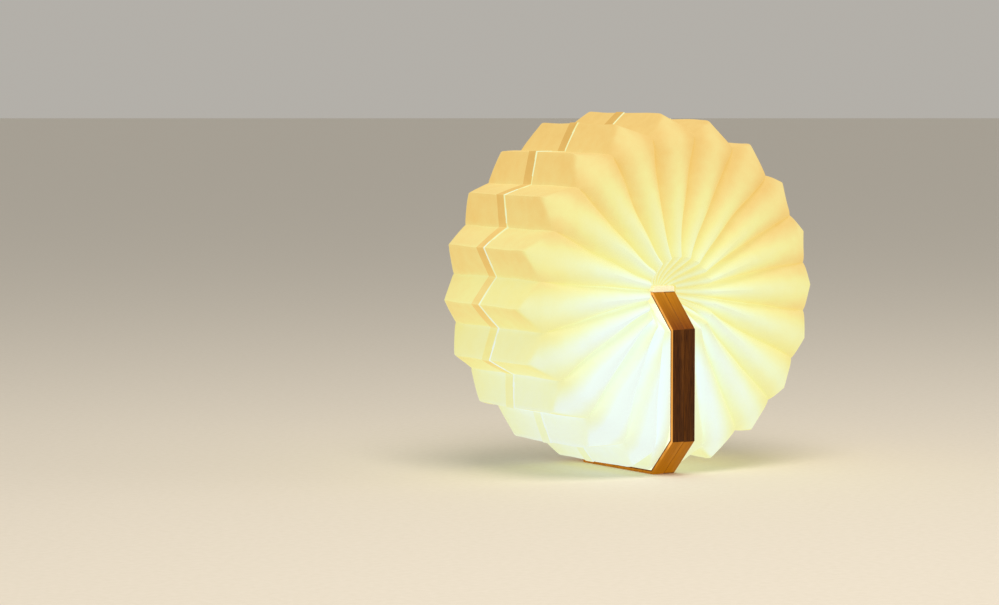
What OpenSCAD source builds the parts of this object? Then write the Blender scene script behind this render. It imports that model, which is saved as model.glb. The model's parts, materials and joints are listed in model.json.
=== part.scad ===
// Folding book lamp, opened right round and standing on the foot edges of its two covers.
// +Z is up. The origin is at the middle of the foot, between the two covers.
// The hinge runs along Y at the top of the covers. The front cover is at x < 0, the rear one at x > 0.
// A point of the paper is given by its distance r from the hinge axis, its place y along the axis,
// and the turn th of its half-plane from straight up, which is negative on the front cover's side.

/* [Covers] */
// Width of each cover, along the hinge
cover_w = 116; // [104:1:140]
// Height of each cover, from its foot edge to the hinge
cover_h = 108; // [100:1:130]
// Thickness of each cover
cover_t = 8; // [7.6:0.1:12]
// Length of each corner cut, along either edge
corner_cut = 21; // [16:0.5:24]
// Depth of the pocket behind the inner panel
pocket_depth = 4.5; // [4.3:0.1:4.8]
// Distance of the pocket from the cover's sides
pocket_side = 14; // [13:0.5:18]
// Lower end of the pocket, above the foot
pocket_z0 = 22; // [20:0.5:24]
// Upper end of the pocket, above the foot
pocket_z1 = 86; // [84:0.5:88]

/* [Paper bellows] */
// Number of pleats
pleat_count = 19; // [15:2:23]
// Turn from the last ridge to its cover, when the fan stands upright, in degrees
end_turn = 15.75; // [13:0.25:18]
// Lean of the middle pleat out of upright, in degrees
lean_turn = -2; // [-3:0.5:3]
// Turn from which a low fold starts aside of the hinge, in degrees
foot_turn = 90; // [85:1:95]
// Turn from which a low fold starts by its cover's inner face, in degrees
foot_full_turn = 165; // [162:1:170]
// Least distance of the paper from the hinge axis
paper_start = 5.5; // [5:0.1:6.5]
// How far the covers stand out past the paper
lip = 2.4; // [1.5:0.1:4]
// Depth of a pleat at the rim
rim_fold = 11.5; // [8:0.5:14]
// Depth of a pleat along the sides
side_fold = 19; // [14:0.5:22]
// Depth of a pleat at the hub
hub_fold = 1.2; // [0.8:0.1:1.4]
// How far the slits between the pleats fade out, before and after the corner by the hub
slit_reach = 8; // [6:0.5:9]
// How far an open fold's corners swell out past the covers' outline, along either edge
corner_swell = 5; // [0:0.5:5.5]
// How far a valley's corner reaches past the covers' corner at the rim
gusset_reach = 15; // [8:0.5:16]
// How far from its corner a ridge starts to bend
corner_bend = 12; // [8:0.5:13]
// Size of the dent where a valley turns its corner
dimple = 4; // [2:0.5:6]
// Thickness of the paper
paper_t = 0.3; // [0.2:0.05:0.4]
// Thickest that the paper may be across a tight fold
fold_wall = 1.6; // [1:0.1:2]

/* [Spine] */
// Height of the spine strap, over the covers
spine_t = 3.5; // [3:0.1:4]
// Radius of the strap's two top edges
spine_r = 1.5; // [1:0.1:1.8]
// Width of the stiffening bar in the strap
stiffener_w = 10; // [6:0.5:12]
// Thickness of the stiffening bar
stiffener_t = 1.2; // [0.8:0.1:1.6]
// Distance from the stiffening bar's end to the ribbon lead
stiffener_end = 7.5; // [2:0.5:20]
// Height of the hinge leaf on each cover's inner face
leaf_h = 6.5; // [4:0.5:6.5]
// Distance of the hinge leaf from each end of the hinge edge
leaf_end = 3; // [1:0.5:8]
// Thickness of the hinge leaf
leaf_t = 0.3; // [0.2:0.05:0.35]

/* [Inner panels and light] */
// Thickness of the inner panel
panel_t = 1.5; // [1.2:0.1:1.8]
// Width of wood round the inner panel
panel_margin = 7; // [6.7:0.1:8]
// Distance of the light window from the cover's sides
window_side = 29; // [27:0.5:32]
// Height of the light window
window_h = 14; // [12:0.5:16]
// Middle of the light window, above the foot
window_z = 74; // [72:0.5:76]
// Thickness of the LED board
led_board_t = 1; // [0.8:0.1:1.2]
// Number of LEDs on each board
led_count = 8; // [4:1:10]
// Length of one LED
led_w = 3.5; // [2:0.1:4]
// Height of one LED
led_h = 2.8; // [2:0.1:3.5]
// Thickness of one LED
led_t = 0.8; // [0.5:0.1:1]
// Thickness of the end sheet that the paper is glued to
sheet_t = 0.3; // [0.2:0.05:0.4]

/* [Battery and controls] */
// Length of the battery pack
battery_w = 56; // [40:1:60]
// Height of the battery pack
battery_h = 38; // [30:1:40]
// Thickness of the battery pack
battery_t = 4; // [3:0.1:4.2]
// Thickness of the control board
board_t = 0.8; // [0.6:0.1:1]
// Height of the control board
board_h = 15; // [12:0.5:18]
// How far the control board reaches under the LED board's end, which leaves room for the lead
board_overlap = 4; // [3.5:0.5:6]
// Side of each chip on the control board
chip_size = 4; // [3:0.5:5]
// Thickness of each chip
chip_t = 1; // [0.6:0.1:1.4]
// Middle of the control board and charging socket, above the foot
board_z = 37; // [34:0.5:44]
// Width of the charging socket
socket_w = 8.9; // [8.5:0.1:9.2]
// Thickness of the charging socket
socket_t = 3.2; // [3:0.05:3.3]
// Length of the charging socket
socket_len = 7.3; // [6:0.1:8]
// Wood left between the control board and the cover's edge
socket_wall = 3; // [2.5:0.1:4]
// How far the charging socket's mouth lies inside the cover's edge
socket_inset = 0.4; // [0.2:0.1:0.8]
// Side of the lid switch's housing
switch_size = 3; // [2:0.1:4]
// Thickness of the lid switch's housing
switch_t = 1.2; // [0.8:0.1:1.6]
// Width of the ribbon lead
ribbon_w = 4; // [3:0.1:5]
// Thickness of the ribbon lead
ribbon_t = 0.3; // [0.2:0.05:0.4]
// Distance from the end of the hinge edge to the middle of the ribbon lead
ribbon_end = 5.5; // [5:0.1:7]
// Diameter of a lead's wire
wire_d = 1; // [0.8:0.1:1.2]
// Distance between the two wires of a lead
wire_pitch = 2; // [1.5:0.1:3]

/* [Magnets and screws] */
// Diameter of each magnet
magnet_d = 8; // [6:0.5:9]
// Thickness of each magnet
magnet_t = 3; // [2:0.1:3.5]
// Distance of the magnets from the cover's sides
magnet_side = 36; // [34:0.5:40]
// Distance of the magnets from the foot edge and from the hinge edge
magnet_edge = 14; // [13.5:0.1:14.5]
// Wood left between a magnet and the outer face
magnet_skin = 1.2; // [0.8:0.1:1.6]
// Diameter of a panel screw's shank
screw_d = 1.6; // [1.2:0.1:2]
// Diameter of a panel screw's head
screw_head_d = 3.2; // [2.6:0.1:4]
// Height of a panel screw's head
screw_head_t = 0.9; // [0.6:0.1:1]
// Length of a panel screw, under its head
screw_len = 4.5; // [3:0.1:4.8]
// Distance of the screws from the cover's sides
screw_side = 21; // [20:0.5:24]
// Distance of the screws from the foot edge and from the hinge edge
screw_edge = 15; // [14:0.5:16]

/* [Clearances] */
// Gap round a panel, board or pack in its seat
fit_gap = 0.15; // [0.1:0.05:0.25]
// Gap round a magnet or screw in its hole
hole_gap = 0.05; // [0.03:0.01:0.1]
// Gap between the strap and the planes of the inner faces
strap_gap = 0.5; // [0.45:0.05:0.7]
// Gap between the paper's hub edge and the strap
hub_gap = 0.3; // [0.3:0.05:0.5]
// Gap between the paper's hub edge and the end sheets
side_gap = 0.6; // [0.5:0.05:0.9]
// Least length of a fold beside the hub, before it reaches the paper's side
hub_run = 2; // [1:0.5:3]

/* [Hidden] */
$fn = 48;

// Names of the nodes: the same ones on each cover, those inside the front cover, and the pleats in order
function pleat_name(n) = str("pleat_", n < 10 ? "0" : "", n);
COVER_NODES = ["cover_board", "inner_panel", "diffuser", "led_board", "led_chips",
               "magnets", "panel_screws", "hinge_leaf", "end_sheet", "ribbon_lead"];

FRONT = -1;
REAR = 1;
EXTRA = 1;            // how far a cut runs past a face

// Covers
top_half = cover_w / 2 - corner_cut;            // half the straight hinge edge
pocket_w = cover_w - 2 * pocket_side;
window_w = cover_w - 2 * window_side;
magnet_y = cover_w / 2 - magnet_side;
screw_y = cover_w / 2 - screw_side;
leaf_len = 2 * (top_half - leaf_end);
pocket_u = panel_t + pocket_depth;              // depth of the pocket's floor under the inner face
panel_fit_margin = panel_margin + fit_gap;
led_board_w = window_w + 2 * led_w;
led_pitch = window_w / led_count;
led_board_u = pocket_u - led_board_t;
battery_z = pocket_z0 + fit_gap + battery_h / 2;
battery_y0 = fit_gap - pocket_w / 2;
socket_y1 = cover_w / 2 - socket_inset;
board_y1 = cover_w / 2 - socket_wall - fit_gap;
board_y0 = led_board_w / 2 - board_overlap;
board_w = board_y1 - board_y0;
board_u = pocket_u - board_t;                   // the socket, chips and switch stand on the board
socket_u = board_u - socket_t / 2;
magnet_u1 = cover_t - magnet_skin;
ribbon_u = panel_t - ribbon_t;                  // the ribbon lead lies on the panel's seat
ribbon_y0 = top_half - ribbon_end - ribbon_w / 2;
stiffener_y0 = -top_half + 2 * spine_r;
stiffener_len = ribbon_y0 - stiffener_end - stiffener_y0;

// Paper: the turn from one ridge to the next
half_count = (pleat_count - 1) / 2;
pleat_pitch = (180 - end_turn) / half_count;
// A half-plane's outline is the cover's outline, set in by the lip
leg = corner_cut - lip * (2 - sqrt(2));         // an outline's corner cut shrinks as it is set in
rim_r = cover_h - lip;
side_y = cover_w / 2 - lip;
rim_y = side_y - leg;
hub_r = lip + leg;                              // where the side leaves the corner cut by the hub
face_w = sqrt(pow(rim_r * sin(pleat_pitch / 2), 2) + pow(rim_fold, 2));
valley_rim_r = rim_r - rim_fold;
valley_rim_y = rim_y + gusset_reach;
valley_hub_y = side_y - side_fold;
cover_turn = 180 - atan2(cover_t + sheet_t, rim_r);
strap_half = cover_t - strap_gap;
hub_box_x = cover_t + sheet_t + side_gap;
hub_box_z = spine_t + hub_gap;

// ---- small helpers ----

// An outline in the plane of a cover, extruded through the cover's thickness.
// u is the depth under the front cover's inner face, so it grows towards the outer face.
module slab(u, thickness) {
    translate([u - cover_t, 0, 0]) rotate([90, 0, 90]) linear_extrude(thickness) children();
}

// Pieces are drawn for the front cover, and mirrored for the rear one.
module on_side(side) {
    mirror([side == REAR ? 1 : 0, 0, 0]) children();
}

// A cover's outline, set in by a margin
module cover_outline(margin) {
    y = cover_w / 2 - margin;
    z0 = margin;
    z1 = cover_h - margin;
    cut = corner_cut - margin * (2 - sqrt(2));
    polygon([[y - cut, z0], [y, z0 + cut], [y, z1 - cut], [y - cut, z1],
             [cut - y, z1], [-y, z1 - cut], [-y, z0 + cut], [cut - y, z0]]);
}

module block(y, z, w, h) {
    translate([y - w / 2, z - h / 2]) square([w, h]);
}

// A slot with round ends
module round_slot(w, h) {
    block(0, 0, w - h, h);
    for (end = [-1, 1]) translate([end * (w - h) / 2, 0]) circle(d = h);
}

module at_magnets() {
    for (y = [-magnet_y, magnet_y], z = [magnet_edge, cover_h - magnet_edge]) translate([y, z]) children();
}

module at_screws() {
    for (y = [-screw_y, screw_y], z = [screw_edge, cover_h - screw_edge]) translate([y, z]) children();
}

module pocket_outline() {
    translate([-pocket_w / 2, pocket_z0]) square([pocket_w, pocket_z1 - pocket_z0]);
}

// ---- covers and what they hold ----

module cover_board(side) {
    color("#5a3214") on_side(side) difference() {
        slab(0, cover_t) cover_outline(0);
        slab(-EXTRA, panel_t + EXTRA) cover_outline(panel_margin);
        slab(0, pocket_u) pocket_outline();
        slab(0, magnet_u1) at_magnets() circle(d = magnet_d + 2 * hole_gap);
        slab(0, panel_t + screw_len + fit_gap) at_screws() circle(d = screw_d + 2 * hole_gap);
        slab(-EXTRA, panel_t + EXTRA) ribbon_channel(cover_h - panel_margin - EXTRA, cover_h + EXTRA);
        if (side == FRONT) socket_seat();
    }
}

// The ribbon lead leaves the pocket through a channel up to the hinge edge
module ribbon_channel(z0, z1) {
    translate([ribbon_y0 - fit_gap, z0]) square([ribbon_w + 2 * fit_gap, z1 - z0]);
}

// The control board's seat runs out of the pocket, and the socket's mouth goes on through the edge
module socket_seat() {
    seat_len = board_w + 2 * fit_gap;
    slab(0, pocket_u) block(board_y1 + fit_gap - seat_len / 2, board_z, seat_len, board_h + 2 * fit_gap);
    along_socket(board_y1, socket_wall + EXTRA) round_slot(socket_w + 2 * fit_gap, socket_t + 2 * fit_gap);
}

// Extrudes an outline along the socket, from y0 towards the cover's edge
module along_socket(y0, len) {
    translate([socket_u - cover_t, y0, board_z]) rotate([-90, 90, 0]) linear_extrude(len) children();
}

module inner_panel(side) {
    color("#f2efe6") on_side(side) difference() {
        slab(0, panel_t) cover_outline(panel_fit_margin);
        slab(-EXTRA, panel_t + 2 * EXTRA) block(0, window_z, window_w, window_h);
        slab(-EXTRA, panel_t + 2 * EXTRA) at_screws() circle(d = screw_d + 2 * hole_gap);
        at_screw_heads() screw_head(hole_gap);
        slab(ribbon_u - fit_gap, panel_t) ribbon_channel(pocket_z1 - EXTRA, cover_h);
    }
}

module diffuser(side) {
    color("#fbfbf4") on_side(side) slab(0, panel_t)
        block(0, window_z, window_w - 2 * fit_gap, window_h - 2 * fit_gap);
}

module led_board(side) {
    color("#e8eae4") on_side(side) slab(led_board_u, led_board_t)
        block(0, window_z, led_board_w, window_h);
}

module led_chips(side) {
    color("#f6e27a") on_side(side) slab(led_board_u - led_t, led_t)
        for (n = [0 : led_count - 1])
            block((n + 0.5 - led_count / 2) * led_pitch, window_z, led_w, led_h);
}

module magnets(side) {
    color("#b9bcc0") on_side(side) slab(magnet_u1 - magnet_t, magnet_t)
        at_magnets() circle(d = magnet_d);
}

// Puts its children, drawn along +Z from the inner face into the wood, at each panel screw
module at_screw_heads() {
    for (y = [-screw_y, screw_y], z = [screw_edge, cover_h - screw_edge])
        translate([-cover_t, y, z]) rotate([0, 90, 0]) children();
}

module screw_head(gap) {
    rotate_extrude() polygon([[0, 0], [screw_head_d / 2 + gap, 0],
                              [screw_d / 2 + gap, screw_head_t], [0, screw_head_t]]);
}

module panel_screws(side) {
    color("#8f9296") on_side(side) at_screw_heads() {
        screw_head(0);
        cylinder(d = screw_d, h = panel_t + screw_len);
    }
}

// A fabric leaf glued to the inner face, with its rolled edge round the hinge axis
module hinge_leaf(side) {
    color("#f4f2ea") on_side(side) translate([-cover_t, leaf_len / 2, cover_h]) rotate([90, 0, 0])
        linear_extrude(leaf_len) {
            translate([-leaf_t, -leaf_h]) square([leaf_t, leaf_h]);
            intersection() {
                circle(r = leaf_t);
                translate([-leaf_t, 0]) square(leaf_t);
            }
        }
}

// The ring of paper that is glued to the inner face, and that the bellows' end folds are glued to
module end_sheet(side) {
    z1 = cover_h - leaf_h - fit_gap;
    y1 = valley_hub_y - 2 * fit_gap;
    color("#f8f4e6") on_side(side) slab(-sheet_t, sheet_t) difference() {
        intersection() {
            cover_outline(lip);
            translate([-cover_w / 2, 0]) square([cover_w, z1]);
        }
        translate([-y1, cover_h - valley_rim_r + lip])
            square([2 * y1, valley_rim_r - hub_r - lip]);
    }
}

// The ribbon lead comes down under the panel and steps down onto the LED board
module ribbon_lead(side) {
    bend_z = pocket_z1 - fit_gap;
    board_top = window_z + window_h / 2;
    end_z = board_top - ribbon_w / 2;
    end_u = led_board_u - ribbon_t;
    color("#d98a3a") on_side(side)
        translate([-cover_t, ribbon_y0 + ribbon_w, 0]) rotate([90, 0, 0]) linear_extrude(ribbon_w)
            polygon([[ribbon_u, cover_h], [ribbon_u, bend_z], [end_u, board_top], [end_u, end_z],
                     [end_u + ribbon_t, end_z], [end_u + ribbon_t, board_top],
                     [panel_t, bend_z], [panel_t, cover_h]]);
}

// ---- battery and controls, all in the front cover ----

module battery_pack() {
    color("#9aa4b0") slab(pocket_u - battery_t, battery_t)
        translate([battery_y0, battery_z - battery_h / 2]) square([battery_w, battery_h]);
}

module control_board() {
    color("#1f6b3a") slab(board_u, board_t)
        translate([board_y0, board_z - board_h / 2]) square([board_w, board_h]);
}

module control_chips() {
    color("#26282b") slab(board_u - chip_t, chip_t)
        for (end = [-1, 1])
            block(board_y1 - board_w / 2, board_z + end * (board_h / 2 - chip_size), chip_size, chip_size);
}

module charging_socket() {
    wall = 0.3;
    tongue = 0.7;
    color("#c4c7ca") difference() {
        along_socket(socket_y1 - socket_len, socket_len) round_slot(socket_w, socket_t);
        along_socket(socket_y1 - socket_len + EXTRA, socket_len) difference() {
            round_slot(socket_w - 2 * wall, socket_t - 2 * wall);
            block(0, 0, socket_w - socket_t, tongue);
        }
    }
}

// It feels when the lamp is closed, and puts the light out
module lid_switch() {
    color("#202224") slab(board_u - switch_t, switch_t)
        block(board_y0 + switch_size, board_z, switch_size, switch_size);
}

// Two wires on the pocket's floor, from the battery to the control board
module battery_lead() {
    y0 = battery_y0 + battery_w;
    color("#b03028") for (end = [-1, 1])
        translate([pocket_u - wire_d / 2 - cover_t, y0, board_z + end * wire_pitch / 2])
            rotate([-90, 0, 0]) cylinder(d = wire_d, h = board_y0 - y0);
}

// Two wires on the pocket's floor, from the control board up to the LED board
module light_lead() {
    z0 = board_z + board_h / 2;
    color("#2c3036") for (end = [-1, 1])
        translate([pocket_u - wire_d / 2 - cover_t, board_y0 + (board_overlap + end * wire_pitch) / 2, z0])
            cylinder(d = wire_d, h = window_z - window_h / 2 - z0);
}

// ---- spine ----

module spine_strap() {
    w = strap_half;
    color("#faf8f0") difference() {
        translate([0, top_half, cover_h]) rotate([90, 0, 0]) linear_extrude(2 * top_half) {
            translate([-w, 0]) square([2 * w, spine_t - spine_r]);
            translate([spine_r - w, 0]) square([2 * (w - spine_r), spine_t]);
            for (end = [-1, 1]) translate([end * (w - spine_r), spine_t - spine_r]) circle(r = spine_r);
        }
        translate([-stiffener_w / 2 - fit_gap, stiffener_y0 - fit_gap, cover_h - EXTRA])
            cube([stiffener_w + 2 * fit_gap, stiffener_len + 2 * fit_gap, EXTRA + fit_gap + stiffener_t]);
        translate([-cover_t, ribbon_y0 - fit_gap, cover_h - EXTRA])
            cube([2 * cover_t, ribbon_w + 2 * fit_gap, EXTRA + fit_gap + ribbon_t]);
    }
}

module spine_stiffener() {
    color("#8f9296") translate([-stiffener_w / 2, stiffener_y0, cover_h + fit_gap])
        cube([stiffener_w, stiffener_len, stiffener_t]);
}

module spine_ribbon_lead() {
    color("#d98a3a") translate([-strap_half, ribbon_y0, cover_h + fit_gap])
        cube([2 * strap_half, ribbon_w, ribbon_t]);
}

// ---- paper bellows ----

// Fold lines are numbered from the middle ridge: a ridge is a whole number, and a valley lies half-way.
// The covers hold the outermost ridges, where the paper is glued along the end sheets' outlines.
function is_ridge(k) = k == round(k);
function on_cover(k) = abs(k) > half_count + 0.5;

// The turn of a fold line from straight up
function fold_turn(k) = abs(k) > half_count
    ? (on_cover(k) ? sign(k) * cover_turn : (fold_turn(sign(k) * half_count) + sign(k) * cover_turn) / 2)
    : lean_turn + pleat_pitch * k;

// How far aside of the hinge axis a fold line starts: a low one starts by its cover's inner face
function fold_foot(th) =
    sign(th) * hub_box_x * min(1, max(0, (abs(th) - foot_turn) / (foot_full_turn - foot_turn)));

// The point of a fold line that is r from the hinge axis and y along it
function fold_point(k, r, y) = on_cover(k)
    ? [sign(k) * (cover_t + sheet_t), y, cover_h - r]
    : let (th = fold_turn(k), foot = fold_foot(th))
      [foot + (rim_r * sin(th) - foot) * r / rim_r, y, cover_h + r * cos(th)];

// Where a fold line leaves the box that holds the strap and the covers' inner faces
function hub_start(k) =
    let (th = fold_turn(k), foot = abs(fold_foot(th)), out = abs(rim_r * sin(th)),
         over = hub_box_z / cos(th),
         beside = rim_r * (hub_box_x - foot) / max(out - foot, fit_gap))
    cos(th) > 0 ? min(over, beside) : max(paper_start, beside);

// A line's outline runs in rows from the hub over the slits' ends, along the side and round the corners to
// the rim. A row has the same number on every line.
function ridge_y(r) = min(side_y, rim_y + r - lip);
function valley_floor(r) =
    valley_hub_y + (valley_rim_y - valley_hub_y) * (r - hub_r) / (valley_rim_r - hub_r);
function hub_rows(k) =
    let (r0 = hub_start(k))
    [r0, max(hub_r - slit_reach, r0 + hub_run), hub_r, hub_r + slit_reach];

function ridge_rows(k) = concat(
    [for (r = hub_rows(k)) [r, ridge_y(r)]],
    let (a = corner_bend, b = corner_bend / 2, s = sqrt(1 / 2),
         cut = on_cover(k) ? leg : leg - corner_swell, r = rim_r - cut, y = side_y - cut) [
        [r - a, side_y],
        [r + (s - 1) * a / 4, side_y - s * a / 4],
        [r + s * a, side_y - s * a],
        [rim_r - s * b, y + s * b],
        [rim_r - s * b / 4, y + (s - 1) * b / 4],
        [rim_r, y - b]]);

function valley_rows(k) =
    let (r = hub_rows(k)) concat(
        [[r[0], ridge_y(r[0]) - hub_fold], [r[1], ridge_y(r[1]) - hub_fold],
         [r[2], side_y - (hub_fold + side_fold) / 2], [r[3], valley_floor(r[3])]],
        [for (p = DIMPLE) let (r = valley_rim_r + dimple * p[0]) [r, valley_floor(r) + dimple * p[1]]]);

// Shape of the dent where a valley turns its corner, as shares of its size
DIMPLE = [[-1, 0], [-0.5, 0], [-0.2, -0.15], [0, -0.45], [0, -0.7], [0, -1]];
// On each row: which way is inward, as [r, y], and how round the fold is, from 0, a crease, to 1
INWARD = [[0, -1], [0, -1], [0, -1], [0, -1], [0, -1],
          [-0.3, -1], [-0.7, -0.7], [-0.7, -0.7], [-1, -0.4], [-1, 0]];
ROUNDNESS = [0.9, 0.9, 0.9, 0.9, 0.9, 0.83, 0.52, 0.23, 0.11, 0.06];
HALF_ROWS = 10;
ALL_ROWS = 2 * HALF_ROWS;

// Thickness of the paper along a half-plane, which grows as the folds get tighter
function wall(r) = min(fold_wall, paper_t * face_w / (2 * r * sin(pleat_pitch / 4)));

function flipped(list) = [for (n = [len(list) - 1 : -1 : 0]) list[n]];

// The points of a fold line on the paper's outer (0) or inner (1) surface, near half first
function fold_line(k, inner) =
    let (rows = is_ridge(k) ? ridge_rows(k) : valley_rows(k),
         half = [for (n = [0 : HALF_ROWS - 1]) rows[n] + inner * wall(rows[n][0]) * INWARD[n]])
    concat([for (p = half) fold_point(k, p[0], -p[1])], [for (p = flipped(half)) fold_point(k, p[0], p[1])]);

// The points of the line half-way down a leaf, which stands out as far as the fold is round
function leaf_line(k, inner) =
    let (ridge = round(k), top = fold_line(ridge, inner), bottom = fold_line(2 * k - ridge, inner),
         plane = fold_point(ridge, rim_r, 0) - fold_point(ridge, 0, 0),
         across = [plane[2], 0, -plane[0]] / norm(plane))
    [for (n = [0 : ALL_ROWS - 1])
        let (out = ((bottom[n] - top[n]) * across) * across,
             share = 1 / 2 + (sqrt(1 / 2) - 1 / 2) * ROUNDNESS[min(n, ALL_ROWS - 1 - n)])
        bottom[n] - out + share * (out + top[n] - (bottom[n] - out))];

function line(k, inner) = is_ridge(2 * k) ? fold_line(k, inner) : leaf_line(k, inner);

// A pleat runs from valley to valley; the first and last ones run on to their covers
module pleat(n) {
    k = n - 1 - half_count;
    first = k == -half_count ? k - 1 : k - 1 / 2;
    last = k == half_count ? k + 1 : k + 1 / 2;
    lines = [first : 1 / 4 : last];
    right = 4 * (last - first) * ALL_ROWS;
    far = ALL_ROWS - 1;
    skin = [for (a = [0 : ALL_ROWS : right - ALL_ROWS], row = [0 : far - 1])
        let (p = a + row, q = p + ALL_ROWS)
        each [[p, q, q + 1], [p, q + 1, p + 1]]];
    border = concat(
        [for (p = [0 : far]) p],
        [for (a = [ALL_ROWS : ALL_ROWS : right]) a + far],
        [for (p = [far - 1 : -1 : 0]) right + p],
        [for (a = [right - ALL_ROWS : -ALL_ROWS : ALL_ROWS]) a]);
    shift = right + ALL_ROWS;
    edge = [for (i = [0 : len(border) - 1])
        let (a = border[i], b = border[(i + 1) % len(border)])
        each [[a, b, b + shift], [a, b + shift, a + shift]]];
    lining = [for (f = skin) [for (i = flipped(f)) i + shift]];
    color(n % 2 == 0 ? "#fff6dc" : "#f6e9c4") polyhedron(
        points = [for (inner = [0, 1], k = lines) each line(k, inner)],
        faces = concat(skin, edge, lining));
}

// ---- the part ----

cover_board(FRONT);  // front_cover_board
inner_panel(FRONT);  // front_inner_panel
diffuser(FRONT);  // front_diffuser
led_board(FRONT);  // front_led_board
led_chips(FRONT);  // front_led_chips
magnets(FRONT);  // front_magnets
panel_screws(FRONT);  // front_panel_screws
hinge_leaf(FRONT);  // front_hinge_leaf
end_sheet(FRONT);  // front_end_sheet
ribbon_lead(FRONT);  // front_ribbon_lead
cover_board(REAR);  // rear_cover_board
inner_panel(REAR);  // rear_inner_panel
diffuser(REAR);  // rear_diffuser
led_board(REAR);  // rear_led_board
led_chips(REAR);  // rear_led_chips
magnets(REAR);  // rear_magnets
panel_screws(REAR);  // rear_panel_screws
hinge_leaf(REAR);  // rear_hinge_leaf
end_sheet(REAR);  // rear_end_sheet
ribbon_lead(REAR);  // rear_ribbon_lead
battery_pack();
battery_lead();
control_board();
control_chips();
charging_socket();
lid_switch();
light_lead();
spine_strap();
spine_stiffener();
spine_ribbon_lead();
for (n = [1 : pleat_count]) {
    pleat(n);
}
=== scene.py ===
"""Folding book lamp, opened right round: the finish of every piece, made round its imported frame.

The wooden covers, the cloth spine and the paper's pleats are modelled here, at the places that the frame
gives. The fittings inside keep their own solids and get their materials here. All sizes are in metres.
"""

import itertools
import json
import math

import bmesh
import bpy
from bpy.props import FloatProperty, FloatVectorProperty, IntProperty, PointerProperty
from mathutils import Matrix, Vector, noise


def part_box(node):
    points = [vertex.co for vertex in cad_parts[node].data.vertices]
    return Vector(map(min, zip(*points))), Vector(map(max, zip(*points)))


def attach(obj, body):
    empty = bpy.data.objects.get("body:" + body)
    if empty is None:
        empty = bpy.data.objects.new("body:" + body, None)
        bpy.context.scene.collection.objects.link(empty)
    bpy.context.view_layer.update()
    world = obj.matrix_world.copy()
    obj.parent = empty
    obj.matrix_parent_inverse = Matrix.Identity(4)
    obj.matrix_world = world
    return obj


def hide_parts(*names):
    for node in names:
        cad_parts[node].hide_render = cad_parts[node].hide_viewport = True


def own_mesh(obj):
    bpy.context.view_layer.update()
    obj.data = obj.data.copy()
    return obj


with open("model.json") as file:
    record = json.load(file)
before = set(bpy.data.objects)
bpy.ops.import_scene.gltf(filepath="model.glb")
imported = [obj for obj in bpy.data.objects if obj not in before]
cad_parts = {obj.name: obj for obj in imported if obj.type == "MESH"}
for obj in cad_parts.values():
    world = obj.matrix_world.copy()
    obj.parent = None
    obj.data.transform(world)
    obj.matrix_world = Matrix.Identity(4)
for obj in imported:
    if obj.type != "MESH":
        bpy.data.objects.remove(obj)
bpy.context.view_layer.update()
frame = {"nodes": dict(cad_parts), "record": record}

bl_info = {
    "name": "Folding book lamp",
    "version": (1, 0, 0),
    "blender": (4, 5, 0),
    "location": "3D View > Sidebar > Book lamp",
    "description": "Wooden covers, cloth spine and pleated paper of a folding book lamp",
    "category": "Add Mesh",
}

MM = 0.001
SIDES = {"front": -1, "rear": 1}

# Places that the frame gives: x runs through the covers, y along the hinge, z up
COVER_LOW, COVER_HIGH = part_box("front_cover_board")
SHEET_LOW, SHEET_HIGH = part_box("front_end_sheet")
SPINE_LOW, SPINE_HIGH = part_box("spine_strap")
COVER_T = COVER_HIGH.x - COVER_LOW.x
COVER_HALF = COVER_HIGH.y
CORNER_CUT = COVER_HALF - SPINE_HIGH.y
HINGE_Z = COVER_HIGH.z
HINGE = Vector((0, 0, HINGE_Z))

# The outline that the paper is glued along, which is the end sheets'. It leaves a lip of wood bare.
LIP = SHEET_LOW.z
SHEET_X = -SHEET_LOW.x
SIDE_Y = SHEET_HIGH.y
LEG = CORNER_CUT - LIP * (2 - math.sqrt(2))     # of the outline's corner cuts
RIM_R = HINGE_Z - LIP                           # from the hinge to its far edge
RIM_Y = SIDE_Y - LEG                            # half the length of that edge
HUB_R = LIP + LEG                               # from the hinge to where its sides start

# How pieces fit, and how far an edge turns before it counts as sharp
POCKET_GAP = 0.15 * MM              # round a piece in the pocket that holds it
SHARP_EDGE = math.radians(30)       # of wood and cloth
SHARP_FOLD = math.radians(24)       # of paper

# How much of the paper's light shows on the wood, from 0 to 1
LIP_LIT = LIP - 0.8 * MM            # the rest of the lip lies in the shade of the paper's edge
LIP_GLOW = (0.5, 0.97)              # on the lit part of the lip, at the foot and above it
LIP_SHADE = 0.2                     # on the rest of it
CUT_GLOW = (0.28, 0.72)             # on an upper corner cut, from its low end to its high end
LOWER_CUT = 0.6                     # the place in that range of the lower corner cuts
CUT_TILT = (0.5, 0.7)               # how much of a cut's normal must point along y, and along z


def pleat_turns():
    """The turn of each pleat's ridge from straight up, in radians, read from how it follows the fold."""
    couplings = frame["record"]["behaviour"]["couplings"]
    ratios = {c["joint"].removesuffix("_turn"): c["ratio"]
              for c in couplings if c["joint"].startswith("pleat_")}
    return {name: -math.pi * ratio for name, ratio in sorted(ratios.items())}


PLEATS = pleat_turns()
PLEAT_NAMES = list(PLEATS)
LAST = len(PLEATS) - 1
PITCH = (PLEATS[PLEAT_NAMES[-1]] - PLEATS[PLEAT_NAMES[0]]) / LAST


# ---- settings that a user would change ----


def rgb(hex_colour):
    """A linear colour with alpha from an sRGB hex value such as 5a3016."""
    parts = [int(hex_colour[i:i + 2], 16) / 255 for i in (0, 2, 4)]
    return [c / 12.92 if c <= 0.04045 else ((c + 0.055) / 1.055) ** 2.4 for c in parts] + [1.0]


COLOUR = {"subtype": "COLOR", "size": 4, "min": 0, "max": 1}


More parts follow.
